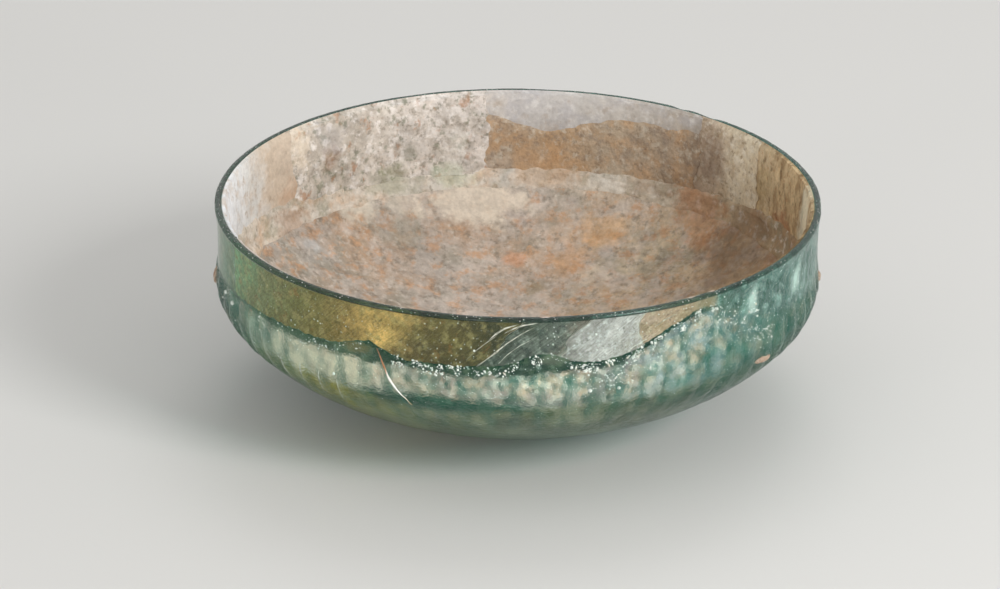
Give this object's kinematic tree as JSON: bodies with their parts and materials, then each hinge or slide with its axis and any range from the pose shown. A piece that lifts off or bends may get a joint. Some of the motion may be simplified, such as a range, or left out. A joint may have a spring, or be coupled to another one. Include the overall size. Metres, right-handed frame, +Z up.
{
  "type": "ribbed glass bowl",
  "caption": "Shallow round-bottomed bowl of blue-green cast glass with short upright ribs round its shoulder, lined with burial crust and weathering films.",
  "frame": {"origin": "on the resting surface, under the middle of the foot", "axes": "+Z up along the bowl's axis, -Y towards the front of the bowl, +X to its right seen from the front"},
  "size_m": [0.1317, 0.13, 0.0453],
  "materials": {
    "blue_green_glass": "gloss",
    "earthy_floor_crust": "matte",
    "beige_shoulder_crust": "matte",
    "gold_film": "satin",
    "grey_film": "satin",
    "silver_film": "satin",
    "tan_film": "satin",
    "ochre_film": "matte",
    "khaki_film": "matte",
    "lavender_film": "matte",
    "brown_crust": "matte",
    "granular_crust": "matte",
    "chalk_film": "matte",
    "lime_lump": "matte"
  },
  "bodies": {
    "root": {"glass_bowl": "blue_green_glass", "floor_crust": "earthy_floor_crust", "shoulder_crust": "beige_shoulder_crust", "front_gold_film": "gold_film", "front_grey_film": "grey_film", "front_silver_film": "silver_film", "front_tan_film": "tan_film", "right_ochre_film": "ochre_film", "back_khaki_film": "khaki_film", "back_lavender_film": "lavender_film", "back_brown_crust": "brown_crust", "back_granular_crust": "granular_crust", "left_chalk_film": "chalk_film", "left_lump": "lime_lump", "right_lump": "lime_lump", "lower_right_lump": "lime_lump"}
  },
  "joints": []
}
